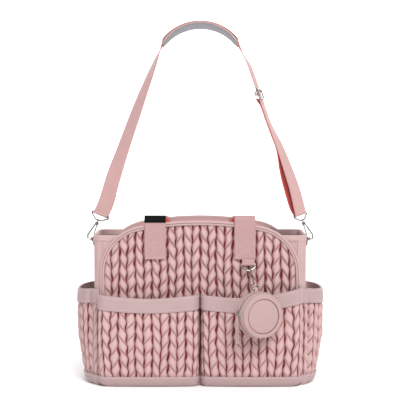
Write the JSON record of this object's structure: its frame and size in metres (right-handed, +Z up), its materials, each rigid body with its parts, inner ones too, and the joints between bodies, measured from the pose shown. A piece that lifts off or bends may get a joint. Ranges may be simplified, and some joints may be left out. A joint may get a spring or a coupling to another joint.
{
  "type": "diaper bag",
  "caption": "Open-topped quilted tote bag for baby care gear with arched panels, outer pockets, folded-in grab handles, a padded clip-on shoulder strap and a hanging round zip pouch.",
  "frame": {"origin": "middle of the bag's underside, on the surface it stands on", "axes": "+X to the right seen from the front, +Y to the rear, +Z up"},
  "size_m": [0.4586, 0.2643, 0.6678],
  "materials": {
    "quilted_fabric": "padded, stitched in a braided pattern",
    "plain_fabric": "matt",
    "webbing": "woven, red on its reverse",
    "lining_fabric": "smooth woven",
    "foam": "soft foam",
    "label": "matt, blank",
    "board": "matt",
    "chrome": "polished",
    "zip_chain": "toothed metal chain",
    "zip_metal": "polished"
  },
  "bodies": {
    "bag": {"base_panel": "plain_fabric", "base_board": "board", "front_wall": "plain_fabric", "rear_wall": "plain_fabric", "left_gusset": "plain_fabric", "right_gusset": "plain_fabric", "lining": "lining_fabric", "rim_bindings": "plain_fabric", "front_quilted_panel": "quilted_fabric", "rear_quilted_panel": "quilted_fabric", "front_arch_binding": "plain_fabric", "rear_arch_binding": "plain_fabric", "rear_base_band": "plain_fabric", "front_left_pocket": "quilted_fabric", "front_right_pocket": "quilted_fabric", "front_left_pocket_band": "webbing", "front_right_pocket_band": "webbing", "front_base_bands": "plain_fabric", "left_side_pocket": "quilted_fabric", "right_side_pocket": "quilted_fabric", "left_side_pocket_band": "webbing", "right_side_pocket_band": "webbing", "side_base_bands": "plain_fabric", "inner_slip_pocket": "lining_fabric", "magnetic_snaps": "chrome", "front_handle_legs": "webbing", "rear_handle_legs": "webbing", "handle_label": "label", "d_ring_tabs": "webbing", "charm_tab": "webbing"},
    "front_handle": {"front_handle_loop": "webbing"},
    "rear_handle": {"rear_handle_loop": "webbing"},
    "left_d_ring": {"left_d_ring": "chrome"},
    "right_d_ring": {"right_d_ring": "chrome"},
    "shoulder_strap": {"left_strap_webbing": "webbing", "right_strap_webbing": "webbing", "right_strap_return": "webbing", "left_strap_loop": "chrome", "right_strap_loop": "chrome", "shoulder_pad_cover": "plain_fabric", "shoulder_pad_foam": "foam", "shoulder_pad_lining": "lining_fabric"},
    "left_hook": {"left_claw": "chrome"},
    "right_hook": {"right_claw": "chrome"},
    "left_gate": {"left_gate": "chrome"},
    "right_gate": {"right_gate": "chrome"},
    "strap_slider": {"strap_slider": "chrome", "slider_wrap": "webbing"},
    "charm_d_ring": {"charm_d_ring": "chrome"},
    "charm_clasp": {"charm_clasp": "chrome"},
    "charm_clasp_gate": {"charm_clasp_gate": "chrome"},
    "charm_swivel_eye": {"charm_swivel_eye": "chrome"},
    "pouch": {"pouch_back": "plain_fabric", "pouch_zip_tape_back": "zip_chain", "pouch_tab": "plain_fabric"},
    "pouch_lid": {"pouch_lid": "plain_fabric", "pouch_zip_tape_lid": "zip_chain"},
    "zip_slider": {"pouch_zip_slider": "zip_metal"},
    "zip_pull": {"pouch_zip_pull": "plain_fabric"}
  },
  "joints": [
    {"name": "front_handle_lift", "type": "hinge", "parent": "bag", "child": "front_handle", "pos_m": [0, -0.083, 0.3], "axis": [1, 0, 0], "range_deg": [0, 180]},
    {"name": "rear_handle_lift", "type": "hinge", "parent": "bag", "child": "rear_handle", "pos_m": [0, 0.083, 0.2945], "axis": [-1, 0, 0], "range_deg": [0, 180]},
    {"name": "left_d_ring_tilt", "type": "hinge", "parent": "bag", "child": "left_d_ring", "pos_m": [-0.1968, 0, 0.252], "axis": [0, 1, 0], "range_deg": [-4, 4]},
    {"name": "right_d_ring_tilt", "type": "hinge", "parent": "bag", "child": "right_d_ring", "pos_m": [0.1968, 0, 0.252], "axis": [0, -1, 0], "range_deg": [-4, 4]},
    {"name": "strap_swing", "type": "hinge", "parent": "bag", "child": "shoulder_strap", "pos_m": [0, 0, 0.2596], "axis": [1, 0, 0], "range_deg": [-35, 50]},
    {"name": "left_hook_swivel", "type": "hinge", "parent": "shoulder_strap", "child": "left_hook", "pos_m": [-0.19172, 0.00448, 0.2915], "axis": [0.3907, 0.1281, 0.9115], "range_deg": [-25, 25]},
    {"name": "left_gate_press", "type": "hinge", "parent": "left_hook", "child": "left_gate", "pos_m": [-0.19348, 0.0033, 0.2831], "axis": [0, 0.9903, -0.1392], "range_deg": [0, 18], "stiffness_Nm_per_rad": 0.01, "springref_deg": -17.19},
    {"name": "right_hook_swivel", "type": "hinge", "parent": "shoulder_strap", "child": "right_hook", "pos_m": [0.19172, 0.00448, 0.2915], "axis": [-0.3907, 0.1281, 0.9115], "range_deg": [-25, 25]},
    {"name": "right_gate_press", "type": "hinge", "parent": "right_hook", "child": "right_gate", "pos_m": [0.19348, 0.0033, 0.2831], "axis": [0, -0.9903, 0.1392], "range_deg": [0, 18], "stiffness_Nm_per_rad": 0.01, "springref_deg": -17.19},
    {"name": "strap_adjust", "type": "slide", "parent": "shoulder_strap", "child": "strap_slider", "axis": [0.321, -0.1318, -0.9379], "range_m": [-0.04, 0.04]},
    {"name": "charm_ring_swing", "type": "hinge", "parent": "bag", "child": "charm_d_ring", "pos_m": [0.087, -0.0922, 0.221], "axis": [-1, 0, 0], "range_deg": [0, 75]},
    {"name": "clasp_swing", "type": "hinge", "parent": "charm_d_ring", "child": "charm_clasp", "pos_m": [0.09037, -0.0994, 0.21071], "axis": [0, 1, 0], "range_deg": [-30, 3]},
    {"name": "clasp_gate_press", "type": "hinge", "parent": "charm_clasp", "child": "charm_clasp_gate", "pos_m": [0.0928, -0.11131, 0.20462], "axis": [-0.9547, -0.2647, 0.1356], "range_deg": [0, 15], "stiffness_Nm_per_rad": 0.005, "springref_deg": -17.19},
    {"name": "clasp_swivel", "type": "hinge", "parent": "charm_clasp", "child": "charm_swivel_eye", "pos_m": [0.0932, -0.11494, 0.20033], "axis": [0.1499, -0.822, -0.5494], "range_deg": [-5, 25]},
    {"name": "pouch_swing", "type": "hinge", "parent": "charm_swivel_eye", "child": "pouch", "pos_m": [0.09833, -0.14311, 0.1815], "axis": [-0.891, -0.454, 0], "range_deg": [0, 40]},
    {"name": "pouch_lid_open", "type": "hinge", "parent": "pouch", "child": "pouch_lid", "pos_m": [0.106, -0.1456, 0.0936], "axis": [0.891, 0.454, 0], "range_deg": [0, 75]},
    {"name": "zip_run", "type": "hinge", "parent": "pouch", "child": "zip_slider", "pos_m": [0.106, -0.1456, 0.136], "axis": [0.454, -0.891, 0], "range_deg": [-45, 60]},
    {"name": "zip_pull_swing", "type": "hinge", "parent": "zip_slider", "child": "zip_pull", "pos_m": [0.0655, -0.16623, 0.14239], "axis": [-0.454, 0.891, 0], "range_deg": [0, 80]}
  ]
}
